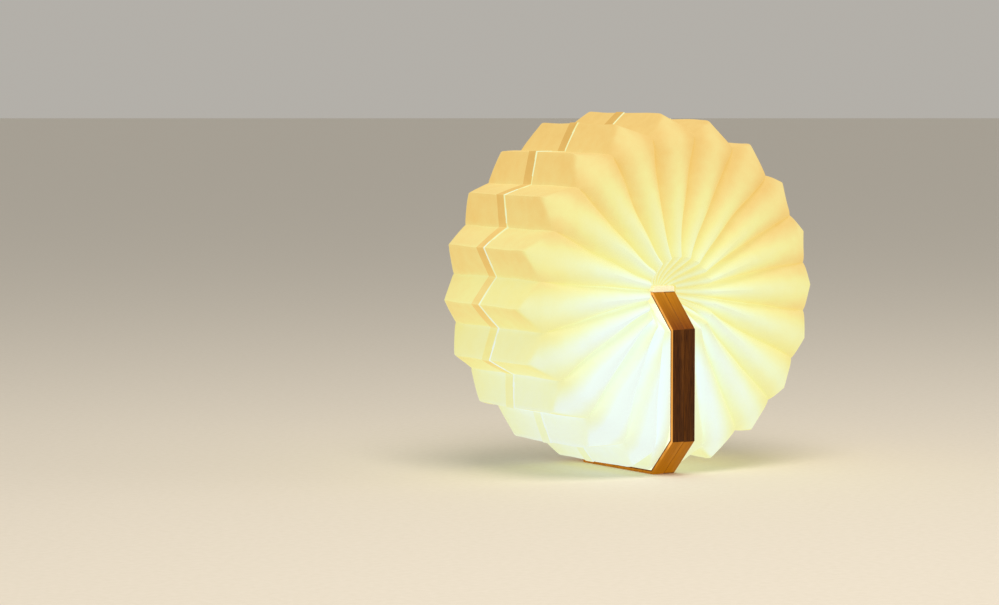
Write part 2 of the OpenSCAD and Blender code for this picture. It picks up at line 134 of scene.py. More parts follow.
class PaperSettings(bpy.types.PropertyGroup):
    rim_fold: FloatProperty(
        name="Rim fold", description="Depth of a pleat at the rim", default=11.5 * MM, unit="LENGTH")
    side_fold: FloatProperty(
        name="Side fold", description="Depth of a pleat along the sides", default=19 * MM, unit="LENGTH")
    corner_swell: FloatProperty(
        name="Corner swell", description="How far an open fold's corners swell past the covers' outline",
        default=5 * MM, unit="LENGTH")
    gusset_reach: FloatProperty(
        name="Gusset reach", description="How far a valley's corner reaches past the covers' at the rim",
        default=15 * MM, unit="LENGTH")
    hub_draw: FloatProperty(
        name="Hub draw", description="How far the folds are drawn in from the strap's ends by the hub",
        default=6 * MM, unit="LENGTH")
    thickness: FloatProperty(
        name="Paper thickness", description="Thickness of one layer of paper",
        default=0.25 * MM, unit="LENGTH")
    corner_bend: FloatProperty(
        name="Corner bend", description="How far from its corner a ridge starts to bend",
        default=9 * MM, unit="LENGTH")
    dimple: FloatProperty(
        name="Dimple", description="Size of the dent where a valley turns its corner",
        default=4 * MM, unit="LENGTH")
    lap: FloatProperty(
        name="Lap", description="Width of the lapped seam round the middle of the rim",
        default=8.5 * MM, unit="LENGTH")
    unevenness: FloatProperty(
        name="Unevenness", description="How far the folds stray from their true place",
        default=0.8 * MM, unit="LENGTH")
    steps_across: IntProperty(
        name="Steps across", description="Faces from a ridge to a valley", default=8, min=1)
    dim_glow: FloatVectorProperty(
        name="Dim glow", description="Colour of the light where least of it comes through",
        default=rgb("ecb653"), **COLOUR)
    bright_glow: FloatVectorProperty(
        name="Bright glow", description="Colour of the light where most of it comes through",
        default=rgb("f6f2f0"), **COLOUR)


class CoverSettings(bpy.types.PropertyGroup):
    edge_radius: FloatProperty(
        name="Edge radius", description="Rounding of the covers' edges", default=0.5 * MM, unit="LENGTH")
    dark_grain: FloatVectorProperty(
        name="Dark grain", description="Colour of the wood's darkest bands",
        default=rgb("381a03"), **COLOUR)
    light_grain: FloatVectorProperty(
        name="Light grain", description="Colour of the wood's lightest bands",
        default=rgb("77450c"), **COLOUR)


class SpineSettings(bpy.types.PropertyGroup):
    edge_radius: FloatProperty(
        name="Strap radius", description="Rounding of the strap's upper edges",
        default=1.5 * MM, unit="LENGTH")
    thread: FloatVectorProperty(
        name="Thread", description="Colour of the tape's threads where they lie on top",
        default=rgb("fcf8e8"), **COLOUR)


class StageSettings(bpy.types.PropertyGroup):
    focal: FloatProperty(
        name="Lens", description="Focal length in millimetres", default=119.0, unit="CAMERA")
    sensor: FloatProperty(
        name="Sensor", description="Width of the sensor in millimetres", default=36.0, unit="CAMERA")
    azimuth: FloatProperty(
        name="Azimuth", description="Turn of the view round the lamp",
        default=math.radians(-31.67), unit="ROTATION")
    elevation: FloatProperty(
        name="Elevation", description="Height of the view", default=math.radians(3.86), unit="ROTATION")
    distance: FloatProperty(
        name="Distance", description="From the hinge to the camera", default=1.983, unit="LENGTH")
    aside: FloatProperty(
        name="Aside", description="How far the view is moved to the right",
        default=-77.8 * MM, unit="LENGTH")
    above: FloatProperty(
        name="Above", description="How far the view is moved up", default=-8.4 * MM, unit="LENGTH")
    backdrop: FloatVectorProperty(
        name="Backdrop", description="Colour of the floor",
        default=rgb("ede8df"), **COLOUR)


SETTINGS = {
    "lamp_paper": PaperSettings,
    "lamp_cover": CoverSettings,
    "lamp_spine": SpineSettings,
    "lamp_stage": StageSettings,
}


# ---- materials ----


def set_inputs(tree, node, values):
    """Gives each named input of a node a value, or another node's output."""
    for name, value in values.items():
        if isinstance(value, bpy.types.NodeSocket):
            tree.links.new(value, node.inputs[name])
        else:
            node.inputs[name].default_value = value


def add_node(tree, kind, inputs=None, stops=(), **settings):
    """Adds a node with its own settings and its inputs. Stops are a colour ramp's places and colours."""
    node = tree.nodes.new("ShaderNode" + kind)
    for name, value in settings.items():
        setattr(node, name, value)
    for number, (place, colour) in enumerate(stops):
        elements = node.color_ramp.elements
        element = elements[number] if number < len(elements) else elements.new(1)
        element.position = place
        element.color = rgb(colour) if isinstance(colour, str) else colour[:]
    set_inputs(tree, node, inputs or {})
    return node


def new_material(name, values):
    """A material with its Principled shader, whose values that are the same all over are set here."""
    material = bpy.data.materials.new(name)
    material.use_nodes = True
    shader = material.node_tree.nodes["Principled BSDF"]
    set_inputs(material.node_tree, shader, values)
    return material, material.node_tree, shader


def put_on(obj, material):
    obj.data.materials.clear()
    obj.data.materials.append(material)


def walnut_veneer(cover):
    """Walnut veneer, sliced, sanded and oiled: fine dark pores along the grain, and a low satin sheen.

    The paper's light falls on the edges beside it, as much as the attribute "glow" says. The light bands
    throw back more of it than the dark ones."""
    pore = 0.35 * MM                # drawn a little coarser than real pores, so that they show
    band = 5 * MM
    drawn_out = 0.04                # the pattern is 25 times as long as it is wide
    band_least, band_more = 0.7, 0.6
    material, tree, shader = new_material(
        "walnut_veneer_oiled", {"Roughness": 0.5, "IOR": 1.5, "Specular IOR Level": 0.12})
    glow = add_node(tree, "Attribute", attribute_name="glow").outputs["Fac"]
    place = add_node(tree, "UVMap", uv_map="grain").outputs["UV"]
    grain = add_node(tree, "Mapping", {"Vector": place, "Scale": (drawn_out, 1, 1)}).outputs["Vector"]
    bands = add_node(tree, "TexNoise", {
        "Vector": grain, "Scale": 1 / band, "Detail": 4, "Distortion": 0.6}).outputs["Fac"]
    pores = add_node(tree, "TexNoise", {"Vector": grain, "Scale": 1 / pore, "Detail": 2}).outputs["Fac"]
    colour = add_node(tree, "ValToRGB", {"Fac": bands}, [
        (0.3, cover.dark_grain), (0.5, "552d06"), (0.7, cover.light_grain)]).outputs["Color"]
    dark = add_node(tree, "ValToRGB", {"Fac": pores}, [
        (0.36, "5a3a14"), (0.52, "ffffff")]).outputs["Color"]
    mixed = add_node(tree, "Mix", {"Factor": 0.6, "A": colour, "B": dark},
                     data_type="RGBA", blend_type="MULTIPLY").outputs["Result"]
    share = add_node(tree, "Math", {0: bands, 1: band_more, 2: band_least},
                     operation="MULTIPLY_ADD").outputs[0]
    level = add_node(tree, "Math", {0: glow, 1: share}, operation="MULTIPLY").outputs[0]
    lit = add_node(tree, "ValToRGB", {"Fac": level}, [
        (0.0, "000000"), (0.3, "6e3400"), (0.7, "b8740a"), (1.0, "f3ab4f")]).outputs["Color"]
    relief = add_node(tree, "Bump", {
        "Height": pores, "Strength": 0.25, "Distance": 0.05 * MM}).outputs["Normal"]
    set_inputs(tree, shader, {
        "Base Color": mixed, "Emission Color": lit, "Emission Strength": 1.0, "Normal": relief})
    return material


def pleated_paper(paper):
    """Spun-fibre paper, calendered and folded: cloudy fibres that show where the light comes through. The
    light from inside is painted on, as emission and in the base colour.
    """
    fibre = 0.8 * MM
    cloud = 7 * MM
    fibre_swing, cloud_swing = 0.05, 0.10
    material, tree, shader = new_material("spun_fibre_paper_lit", {"Roughness": 0.75, "IOR": 1.45})
    glow = add_node(tree, "Attribute", attribute_name="glow").outputs["Fac"]
    place = add_node(tree, "TexCoord").outputs["Object"]
    clouds = add_node(tree, "TexNoise", {"Vector": place, "Scale": 1 / cloud, "Detail": 3}).outputs["Fac"]
    fibres = add_node(tree, "TexNoise", {
        "Vector": place, "Scale": 1 / fibre, "Detail": 3, "Roughness": 0.65}).outputs["Fac"]
    cloudy = add_node(tree, "Math", {0: clouds, 1: cloud_swing, 2: -cloud_swing / 2},
                      operation="MULTIPLY_ADD").outputs[0]
    fibrous = add_node(tree, "Math", {0: fibres, 1: fibre_swing, 2: cloudy},
                       operation="MULTIPLY_ADD").outputs[0]
    level = add_node(tree, "Math", {0: glow, 1: fibrous}, operation="ADD").outputs[0]
    lit = add_node(tree, "ValToRGB", {"Fac": level}, [
        (0.0, paper.dim_glow), (0.2, "ffd475"), (0.42, "fdf49c"), (0.7, "f7f7c8"),
        (1.0, paper.bright_glow)]).outputs["Color"]
    # painted light and shade in the base colour too: darker and warmer where less light comes through,
    # paler and bluer where more does
    body = add_node(tree, "ValToRGB", {"Fac": level}, [
        (0.0, "5f533a"), (0.3, "7b735a"), (0.6, "828f6c"), (1.0, "80aaa8")]).outputs["Color"]
    relief = add_node(tree, "Bump", {
        "Height": fibres, "Strength": 0.15, "Distance": 0.05 * MM}).outputs["Normal"]
    set_inputs(tree, shader, {
        "Base Color": body, "Emission Color": lit, "Emission Strength": 0.72, "Normal": relief})
    return material


def woven_tape(spine):
    """Cotton tape, plain woven and glued flat: a fine over-and-under of threads. Its colour is also painted
    on as light, standing for the paper's glow that falls on it.
    """
    thread = 0.45 * MM
    material, tree, shader = new_material("cotton_tape_woven_painted_glow", {"Roughness": 0.85, "Sheen Weight": 0.3})
    place = add_node(tree, "TexCoord").outputs["Object"]
    warp, weft = (
        add_node(tree, "TexWave", {"Vector": place, "Scale": 1 / (thread * 2 * math.pi)},
                 bands_direction=direction).outputs["Fac"]
        for direction in ("X", "Y"))
    weave = add_node(tree, "Math", {0: warp, 1: weft}, operation="MULTIPLY").outputs[0]
    colour = add_node(tree, "ValToRGB", {"Fac": weave}, [
        (0.0, "ede2bd"), (0.6, "f6f0d6"), (1.0, spine.thread)]).outputs["Color"]
    relief = add_node(tree, "Bump", {
        "Height": weave, "Strength": 0.5, "Distance": 0.06 * MM}).outputs["Normal"]
    # painted light: the tape's own colour also shines, at 0.4, in place of the lamp's glow falling on it
    set_inputs(tree, shader, {
        "Base Color": colour, "Emission Color": colour, "Emission Strength": 0.4, "Normal": relief})
    return material


def fitting_finish(name, light, dark, grain, values):
    """A plain finish for a piece inside the lamp: two near colours that wander over it by its own grain.

    A piece that shines has its strength among the values, and shines in the same two colours."""
    material, tree, shader = new_material(name, values)
    place = add_node(tree, "TexCoord").outputs["Object"]
    wander = add_node(tree, "TexNoise", {"Vector": place, "Scale": 1 / grain, "Detail": 3}).outputs["Fac"]
    colour = add_node(tree, "ValToRGB", {"Fac": wander}, [(0.3, dark), (0.7, light)]).outputs["Color"]
    relief = add_node(tree, "Bump", {
        "Height": wander, "Strength": 0.2, "Distance": 0.03 * MM}).outputs["Normal"]
    set_inputs(tree, shader, {"Base Color": colour, "Normal": relief})
    if "Emission Strength" in values:
        set_inputs(tree, shader, {"Emission Color": colour})
    return material


# Each fitting's finish: light and dark colour, grain, shader values, and the nodes that wear it
FITTINGS = {
    # greyboard lined with white card, die-cut: soft and matt
    "white_card_lined": (
        "f3f0e6", "e8e3d4", 1.5 * MM, {"Roughness": 0.8}, ["front_inner_panel", "rear_inner_panel"]),
    # spun-fibre paper, die-cut and glued flat: the light inside the bellows falls straight on it
    "spun_fibre_paper_flat": (
        "f6fff0", "eefbd8", 7 * MM, {"Roughness": 0.75, "Emission Strength": 0.45},
        ["front_end_sheet", "rear_end_sheet"]),
    # opal polycarbonate, extruded: even and softly lit
    "polycarbonate_opal": (
        "fffef2", "fbf8e2", 4 * MM, {"Roughness": 0.45, "IOR": 1.58, "Emission Strength": 0.9},
        ["front_diffuser", "rear_diffuser"]),
    # glass-epoxy board with white solder resist: faint weave under a smooth skin
    "circuit_board_white": (
        "eef0ea", "dfe3da", 0.5 * MM, {"Roughness": 0.4, "IOR": 1.5},
        ["front_led_board", "rear_led_board"]),
    # LED phosphor in silicone: yellow, slightly glossy
    "led_phosphor": (
        "ffe98a", "f5cf4a", 0.6 * MM, {"Roughness": 0.3, "IOR": 1.41},
        ["front_led_chips", "rear_led_chips"]),
    # nickel-plated magnet, barrel-plated: bright with fine scuffs
    "nickel_plated": (
        "c8c9c6", "a6a8a6", 0.7 * MM, {"Roughness": 0.28, "Metallic": 1.0},
        ["front_magnets", "rear_magnets"]),
    # zinc-plated steel, pressed and plated: bluish and a little cloudy
    "steel_zinc_plated": (
        "b5b9bd", "8f9499", 1.2 * MM, {"Roughness": 0.38, "Metallic": 1.0},
        ["front_panel_screws", "rear_panel_screws", "spine_stiffener"]),
    # polyester film lead with printed copper: amber and glossy
    "polyester_film_amber": (
        "d9903a", "b86f22", 3 * MM, {"Roughness": 0.25, "IOR": 1.6},
        ["front_ribbon_lead", "rear_ribbon_lead", "spine_ribbon_lead"]),
    # aluminium-laminated battery pouch, heat-sealed: satin with soft dents
    "battery_pouch_foil": (
        "b9c0c8", "98a1ab", 5 * MM, {"Roughness": 0.35, "Metallic": 0.9}, ["battery_pack"]),
    # glass-epoxy board with green solder resist: faint weave under a smooth skin
    "circuit_board_green": (
        "1f7a42", "145c30", 0.5 * MM, {"Roughness": 0.35, "IOR": 1.5}, ["control_board"]),
    # black epoxy, moulded, as on chips and switch housings: matt and even
    "epoxy_moulded_black": (
        "2a2b2e", "1b1c1e", 0.3 * MM, {"Roughness": 0.6, "IOR": 1.55}, ["control_chips", "lid_switch"]),
    # tin-plated steel, deep drawn: bright, with drawing marks
    "steel_tin_plated": (
        "cfd1d3", "aeb1b4", 0.8 * MM, {"Roughness": 0.25, "Metallic": 1.0}, ["charging_socket"]),
    # vinyl wire covers, extruded: smooth, with a soft shine
    "vinyl_red": ("b8322a", "9a241e", 1 * MM, {"Roughness": 0.4, "IOR": 1.53}, ["battery_lead"]),
    "vinyl_black": ("303338", "1f2226", 1 * MM, {"Roughness": 0.4, "IOR": 1.53}, ["light_lead"]),
}


# ---- modelling helpers ----


def deselect_all():
    """Leaves nothing selected, in object mode."""
    if bpy.context.object and bpy.context.object.mode != "OBJECT":
        bpy.ops.object.mode_set(mode="OBJECT")
    bpy.ops.object.select_all(action="DESELECT")


def make_active(obj):
    deselect_all()
    obj.select_set(True)
    bpy.context.view_layer.objects.active = obj


def new_box(name, low, high):
    """A box from its lowest to its highest corner, with its place in its mesh."""
    deselect_all()
    bpy.ops.mesh.primitive_cube_add(size=1, location=(Vector(low) + Vector(high)) / 2)
    obj = bpy.context.object
    obj.name = obj.data.name = name
    obj.scale = Vector(high) - Vector(low)
    bpy.ops.object.transform_apply(location=True, rotation=True, scale=True)
    return obj


def pick(obj, faces=None, edges=None):
    """Selects, in edit mode, the faces or the edges that a test picks by their place."""
    make_active(obj)
    bpy.ops.object.mode_set(mode="EDIT")
    bpy.ops.mesh.select_all(action="DESELECT")
    bpy.ops.mesh.select_mode(type="FACE" if faces else "EDGE")
    mesh = bmesh.from_edit_mesh(obj.data)
    for item in mesh.faces if faces else mesh.edges:
        if (faces or edges)(item):
            item.select_set(True)
    bmesh.update_edit_mesh(obj.data)


def edge_run(edge):
    """How far an edge runs along each axis."""
    a, b = (v.co for v in edge.verts)
    return abs(a.x - b.x), abs(a.y - b.y), abs(a.z - b.z)


def along_x(edge):
    x, y, z = edge_run(edge)
    return x > y + z


def along_y(edge):
    return edge_run(edge)[1] > MM


def above_hinge(edge, height):
    return all(v.co.z > HINGE_Z + height for v in edge.verts)


def faces_x(normal):
    return abs(normal.x) > 0.7


def modify(obj, kind, **settings):
    """Adds a modifier and applies it."""
    make_active(obj)
    modifier = obj.modifiers.new(kind.lower(), kind)
    for name, value in settings.items():
        setattr(modifier, name, value)
    bpy.ops.object.modifier_apply(modifier=modifier.name)


def smooth(obj, sharpest):
    """Shades an object smooth, apart from the edges that turn by more than an angle."""
    make_active(obj)
    bpy.ops.object.shade_smooth_by_angle(angle=sharpest)


def soften_edges(obj, radius, segments):
    """Rounds an object's sharp edges, and shades it smooth."""
    modify(obj, "BEVEL", width=radius, segments=segments, limit_method="ANGLE", angle_limit=SHARP_EDGE)
    smooth(obj, SHARP_EDGE)


def corners(mesh, face):
    """The number and the place of each corner of a face."""
    for loop in face.loop_indices:
        yield loop, mesh.vertices[mesh.loops[loop].vertex_index].co


def smoothstep(low, high, value):
    t = min(1.0, max(0.0, (value - low) / (high - low)))
    return t * t * (3 - 2 * t)


def lerp(a, b, t):
    return a + (b - a) * t


# ---- covers ----


def grain_map(obj):
    """Lays the grain up the faces and along the edge bands, as veneer and edge banding are glued on."""
    layer = obj.data.uv_layers.new(name="grain")
    across = Vector((1, 0, 0))
    for face in obj.data.polygons:
        normal = face.normal
        grain = Vector((0, 0, 1)) if faces_x(normal) else across.cross(normal).normalized()
        other = grain.cross(normal)
        for loop, place in corners(obj.data, face):
            layer.data[loop].uv = (place.dot(grain), place.dot(other) + normal.x * COVER_HALF)


def inward(place):
    """How far a place on a cover's face lies inside the cover's outline."""
    y, z = COVER_HALF - abs(place.y), HINGE_Z / 2 - abs(place.z - HINGE_Z / 2)
    return min(y, z, (y + z - CORNER_CUT) / math.sqrt(2))


def lip_glow(face, place):
    """The paper's light on the lip of wood beside it: less at the foot, and less in the shade."""
    if abs(place.x) <= COVER_T - MM:
        return 0
    lit = lerp(*LIP_GLOW, smoothstep(0, 2 * LIP, place.z)) if inward(face.center) < LIP_LIT else LIP_SHADE
    return abs(face.normal.x) * lit


def cut_glow(face, place):
    """The paper's light on a corner cut: more towards the hinge."""
    tilt = smoothstep(*CUT_TILT, abs(face.normal.z)) * smoothstep(*CUT_TILT, abs(face.normal.y))
    height = smoothstep(HINGE_Z - CORNER_CUT, HINGE_Z, place.z) if place.z > HINGE_Z / 2 else LOWER_CUT
    return tilt * lerp(*CUT_GLOW, height)


def light_wood(obj):
    """Stores how much of the paper's light falls on the wood."""
    layer = obj.data.attributes.new("glow", "FLOAT", "CORNER")
    for face in obj.data.polygons:
        for loop, place in corners(obj.data, face):
            layer.data[loop].value = cut_glow(face, place) + lip_glow(face, place)


def make_cover(name, side, radius):
    """A cover: a board with its corners cut off, a seat for the panel, and softened edges."""
    low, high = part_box(name + "_cover_board")
    panel_low, panel_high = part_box(name + "_inner_panel")
    board = new_box(name + "_cover_wood", low, high)
    pick(board, edges=along_x)
    bpy.ops.mesh.bevel(offset=CORNER_CUT, offset_type="OFFSET", segments=1, affect="EDGES")
    inner = low.x if side < 0 else high.x
    pick(board, faces=lambda f: faces_x(f.normal) and abs(f.calc_center_median().x - inner) < MM)
    bpy.ops.mesh.inset(thickness=LIP_LIT, use_even_offset=True)
    bpy.ops.mesh.inset(thickness=panel_low.z - low.z - POCKET_GAP - LIP_LIT, use_even_offset=True)
    bpy.ops.mesh.extrude_region_move()
    bpy.ops.transform.translate(value=(-side * (panel_high.x - panel_low.x), 0, 0))
    bpy.ops.object.mode_set(mode="OBJECT")
    if name == "front":
        cut_socket(board)
    soften_edges(board, radius, segments=3)
    grain_map(board)
    light_wood(board)
    return board


def cut_socket(board):
    """Cuts the charging socket's mouth through the cover's far edge: a slot with round ends."""
    low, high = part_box("charging_socket")
    reach = Vector((POCKET_GAP, 0, POCKET_GAP))
    cutter = new_box("socket_cutter", low - reach, Vector((high.x, COVER_HALF + MM, high.z)) + reach)
    nearly_half = (high.x - low.x) / 2 + 0.99 * POCKET_GAP      # so that the two round ends don't meet
    pick(cutter, edges=along_y)
    bpy.ops.mesh.bevel(offset=nearly_half, segments=8, affect="EDGES")
    bpy.ops.object.mode_set(mode="OBJECT")
    modify(board, "BOOLEAN", operation="DIFFERENCE", solver="EXACT", object=cutter)
    bpy.data.objects.remove(cutter)


class LAMP_OT_covers(bpy.types.Operator):
    """Make the two wooden covers"""

    bl_idname = "lamp.covers"
    bl_label = "Covers"

    def execute(self, context):
        cover = context.scene.lamp_cover
        wood = walnut_veneer(cover)
        for name, side in SIDES.items():
            board = make_cover(name, side, cover.edge_radius)
            put_on(board, wood)
            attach(board, name + "_cover")
            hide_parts(name + "_cover_board")
        return {"FINISHED"}


# ---- spine ----


def make_strap(radius):
    """The strap over the hinge, with its two upper edges well rounded and the others just softened."""
    strap = new_box("spine_tape", SPINE_LOW, SPINE_HIGH)
    pick(strap, edges=lambda e: above_hinge(e, MM) and along_y(e))
    bpy.ops.mesh.bevel(offset=radius, segments=6, affect="EDGES")
    bpy.ops.object.mode_set(mode="OBJECT")
    soften_edges(strap, radius=0.25 * MM, segments=2)
    return strap


def make_hinge_cloth(name):
    """The cloth leaf that is glued to a cover's inner face by the hinge, cut to the paper's outline."""
    low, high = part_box(name + "_hinge_leaf")
    low.z = SHEET_HIGH.z
    high.z = HINGE_Z
    high.y = RIM_Y - LIP + (HINGE_Z - low.z)
    low.y = -high.y
    nearly_whole = high.z - low.z - 0.1 * MM        # so that the ends keep a face
    cloth = new_box(name + "_hinge_cloth", low, high)
    pick(cloth, edges=lambda e: along_x(e) and above_hinge(e, -MM))
    bpy.ops.mesh.bevel(offset=nearly_whole, segments=1, affect="EDGES")
    bpy.ops.object.mode_set(mode="OBJECT")
    return cloth


class LAMP_OT_spine(bpy.types.Operator):
    """Make the cloth-covered spine strap, and its leaves on the covers"""

    bl_idname = "lamp.spine"
    bl_label = "Spine"

    def execute(self, context):
        spine = context.scene.lamp_spine
        tape = woven_tape(spine)
        strap = make_strap(spine.edge_radius)
        put_on(strap, tape)
        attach(strap, "spine")
        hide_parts("spine_strap")
        for name in SIDES:
            cloth = make_hinge_cloth(name)
            put_on(cloth, tape)
            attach(cloth, name + "_cover")
            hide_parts(name + "_hinge_leaf")
        return {"FINISHED"}


# ---- paper: where its folds lie ----
# A fold line is a ridge (a whole number, counted from the first pleat) or a valley (half-way between
# two). The covers hold one more ridge each, where the paper is glued along the end sheets' outlines.
# The sheet is laid out in rows: from the hub along the near side, over the rim and back along the far side.

COVER_TURN = math.pi - math.atan2(SHEET_X, RIM_R)   # of the covers' own ridges
GLUE = 0.05 * MM                    # between an end sheet and the fold that is glued to it

# The rows of each stretch, from the hub to the rim's middle, where the seam has rows of its own
HUB, SIDE, CORNER, RIM, SEAM = range(5)
ROWS = {HUB: 6, SIDE: 15, CORNER: 14, RIM: 4}

# The hub: its folds stand clear of the end sheets and of the strap
HUB_X = SHEET_X + 0.6 * MM
HUB_Z = SPINE_HIGH.z - HINGE_Z + 0.3 * MM
HUB_LEAST = 2 * MM                  # the least length of a fold line's stretch there
LOW_START = 5.5 * MM                # the least distance from the hinge at which a low fold line starts
LOW_TURNS = (90, 165)               # in degrees: from the turn that is level to the one that is lowest

# Distances from the hinge over which the folds come out of their draw, and over which the valleys open
DRAWN = (9 * MM, 24 * MM)
OPENING = (13 * MM, 31 * MM)
PRESSED_DEPTH = 1.2 * MM            # depth of the valleys before they open

# The seam: the far half starts with its cut edge, a narrow strip by the middle, and lies on the near half
SEAM_LEAD = 3 * MM                  # from the middle to the near half's last row but one
CUT_STRIP = 0.8 * MM                # width of the strip
LAP_RAMP = 0.4 * MM                 # half the width over which the far half comes down again, past the lap
LAP_CLEAR = 4 * MM                  # from the lap to where the rim's own rows end

# Rounded corners, and how round the folds themselves are: 1 is a half ellipse, and 0 a straight crease
BEND_SHARE = 0.98                   # of the room that a corner has to bend in
BEND_STEPS = 4
SIDE_ROUND, CORNER_ROUND, RIM_ROUND = 0.9, 0.06, 0.05

# The paper's slow wander
WANDER_SEED = 11                    # so that it is the same on every run
WANDER_SPACING = 22 * MM
WANDER_START = 12 * MM              # from an end sheet to where the paper wanders freely


def cover_side(line):
    """-1 for the front cover's own ridge, 1 for the rear one's, and 0 for any other line."""
    return (line == LAST + 1) - (line == -1)


def fold_turn(line):
    """The turn of a fold line from straight up."""
    if cover_side(line):
        return cover_side(line) * COVER_TURN
    if line < 0:
        return (fold_turn(0) - COVER_TURN) / 2
    if line > LAST:
        return (fold_turn(LAST) + COVER_TURN) / 2
    return PLEATS[PLEAT_NAMES[0]] + PITCH * line


def fold_foot(turn):
    """How far aside of the hinge a fold line starts: a low one starts by its cover's inner face."""
    level, lowest = LOW_TURNS
    low = min(1, max(0, (abs(math.degrees(turn)) - level) / (lowest - level)))
    return math.copysign(HUB_X * low, turn)


def fold_point(line, r, y):
    """The place of a point that is r from the hinge and y along it, on a fold line."""
    if cover_side(line):
        return Vector((cover_side(line) * (SHEET_X + GLUE), y, HINGE_Z - r))
    turn = fold_turn(line)
    foot = fold_foot(turn)
    return Vector((foot + (RIM_R * math.sin(turn) - foot) * r / RIM_R, y, HINGE_Z + r * math.cos(turn)))


def hub_start(line):
    """Where a fold line leaves the strap and the covers' inner faces."""
    turn = fold_turn(line)
    foot, out = abs(fold_foot(turn)), abs(RIM_R * math.sin(turn))
    beside = RIM_R * (HUB_X - foot) / max(out - foot, MM)
    return min(HUB_Z / math.cos(turn), beside) if math.cos(turn) > 0 else max(LOW_START, beside)


def hub_end(line):
    """Where a fold line's stretch by the hub ends."""
    return max(HUB_R, hub_start(line) + HUB_LEAST)


def side_y(paper, r):
    """How far along the hinge a ridge lies. By the hub it follows the corner cut, and is drawn in."""
    return min(SIDE_Y, RIM_Y + r - LIP) - paper.hub_draw * (1 - smoothstep(*DRAWN, r))


def valley_floor(paper, r):
    """Where a valley's line along the side lies, from its deepest place by the hub out to the rim."""
    out = (r - HUB_R) / (RIM_R - paper.rim_fold - HUB_R)
    return lerp(SIDE_Y - paper.side_fold, RIM_Y + paper.gusset_reach, out)


def round_path(points, reach, share):
    """A point along a path with rounded corners. Reach says how far from each corner it starts to bend."""
    path = [Vector(points[0])]
    for a, b, c, d in zip(points, points[1:], points[2:], reach):
        a, b, c, d = Vector(a), Vector(b), Vector(c), d * BEND_SHARE
        start, end = b + (a - b).normalized() * d, b + (c - b).normalized() * d
        for step in range(BEND_STEPS + 1):
            t = step / BEND_STEPS
            path.append(start.lerp(b, t).lerp(b.lerp(end, t), t))
    path.append(Vector(points[-1]))
    left = share * sum((q - p).length for p, q in zip(path, path[1:]))
    for p, q in zip(path, path[1:]):
        if left <= (q - p).length:
            return p.lerp(q, left / max((q - p).length, 1e-9))
        left -= (q - p).length
    return path[-1]


def fold_rows(paper):
    """All rows from the near hub to the far hub, as (side, stretch, share, height over the sheet).

    The far half laps over the near one at the middle of the rim. A seam row's share is its distance from
    the middle."""
    half = [(stretch, t / count, 0) for stretch, count in ROWS.items() for t in range(count)]
    lap, step = paper.lap, 2 * paper.thickness
    near_seam = [(SEAM_LEAD, 0), (CUT_STRIP, 0)]
    far_seam = [(0, step), (CUT_STRIP, step), (lap / 2, step), (lap - LAP_RAMP, step), (lap + LAP_RAMP, 0)]
    near = [(-1, *row) for row in half] + [(-1, SEAM, *row) for row in near_seam]
    far = [(1, SEAM, *row) for row in far_seam] + [(1, *row) for row in reversed(half)]
    return near + far


def ridge_outline(paper, line, stretch, share):
    """(r, y) of a ridge: up the side, round its two corners and along the rim."""
    bend = paper.corner_bend
    cut = LEG if cover_side(line) else LEG - paper.corner_swell
    low, rim_y = RIM_R - cut - bend, SIDE_Y - cut
    if stretch == HUB:
        r = lerp(hub_start(line), hub_end(line), share)
        return r, side_y(paper, r)
    if stretch == SIDE:
        return lerp(hub_end(line), low, share), SIDE_Y
    if stretch == CORNER:
        points = [(low, SIDE_Y), (RIM_R - cut, SIDE_Y), (RIM_R, rim_y), (RIM_R, rim_y - bend / 2)]
        return round_path(points, [bend, bend / 2], share)
    return RIM_R, share if stretch == SEAM else lerp(rim_y - bend / 2, paper.lap + LAP_CLEAR, share)


def valley_outline(paper, line, stretch, share):
    """(r, y) of a valley: shallow by the hub, deep along the side, then round the dimple to the rim."""
    rim_r, rim_y, size = RIM_R - paper.rim_fold, RIM_Y + paper.gusset_reach, paper.dimple
    if stretch in (HUB, SIDE):
        start, end = (hub_start(line), hub_end(line)) if stretch == HUB else (hub_end(line), rim_r - size)
        r = lerp(start, end, share)
        closed = side_y(paper, r) - lerp(PRESSED_DEPTH, paper.side_fold, smoothstep(*OPENING, r))
        return r, max(min(valley_floor(paper, r), side_y(paper, r)), closed)
    if stretch == CORNER:
        r, y = round_path([(rim_r - size, rim_y), (rim_r, rim_y), (rim_r, rim_y - size)], [size], share)
        return r, min(y, valley_floor(paper, r))
    return rim_r, share if stretch == SEAM else lerp(rim_y - size, paper.lap + LAP_CLEAR, share)


def row_point(paper, line, row):
    """The place of a fold line on a row."""
    side, stretch, share, rise = row
    outline = ridge_outline if line == round(line) else valley_outline
    r, y = outline(paper, line, stretch, share)
    return fold_point(line, r + rise, side * y)


def roundness(row):
    """How round the fold is on a row: nearly a half ellipse by the hub, and a crisp crease at the rim."""
    stretch, share = row[1:3]
    if stretch in (HUB, SIDE):
        return SIDE_ROUND
    if stretch == CORNER:
        return lerp(SIDE_ROUND, CORNER_ROUND, smoothstep(0.1, 1, share))
    return RIM_ROUND


def leaf_row(paper, ridge_line, valley_line, row):
    """The points of a row from a ridge down to a valley, which stand out as far as the fold is round."""
    ridge, valley = (row_point(paper, line, row) for line in (ridge_line, valley_line))
    plane = fold_point(ridge_line, RIM_R, 0) - fold_point(ridge_line, 0, 0)
    across = Vector((plane.z, 0, -plane.x)).normalized()
    out = (valley - ridge).dot(across) * across
    foot = valley - out
    bend = roundness(row)
    points = []
    for step in range(paper.steps_across + 1):
        share = step / paper.steps_across
        run = lerp(share, math.sin(share * math.pi / 2), bend)
        height = lerp(1 - share, math.cos(share * math.pi / 2), bend)
        points.append(foot + out * run + (ridge - foot) * height)
    return points


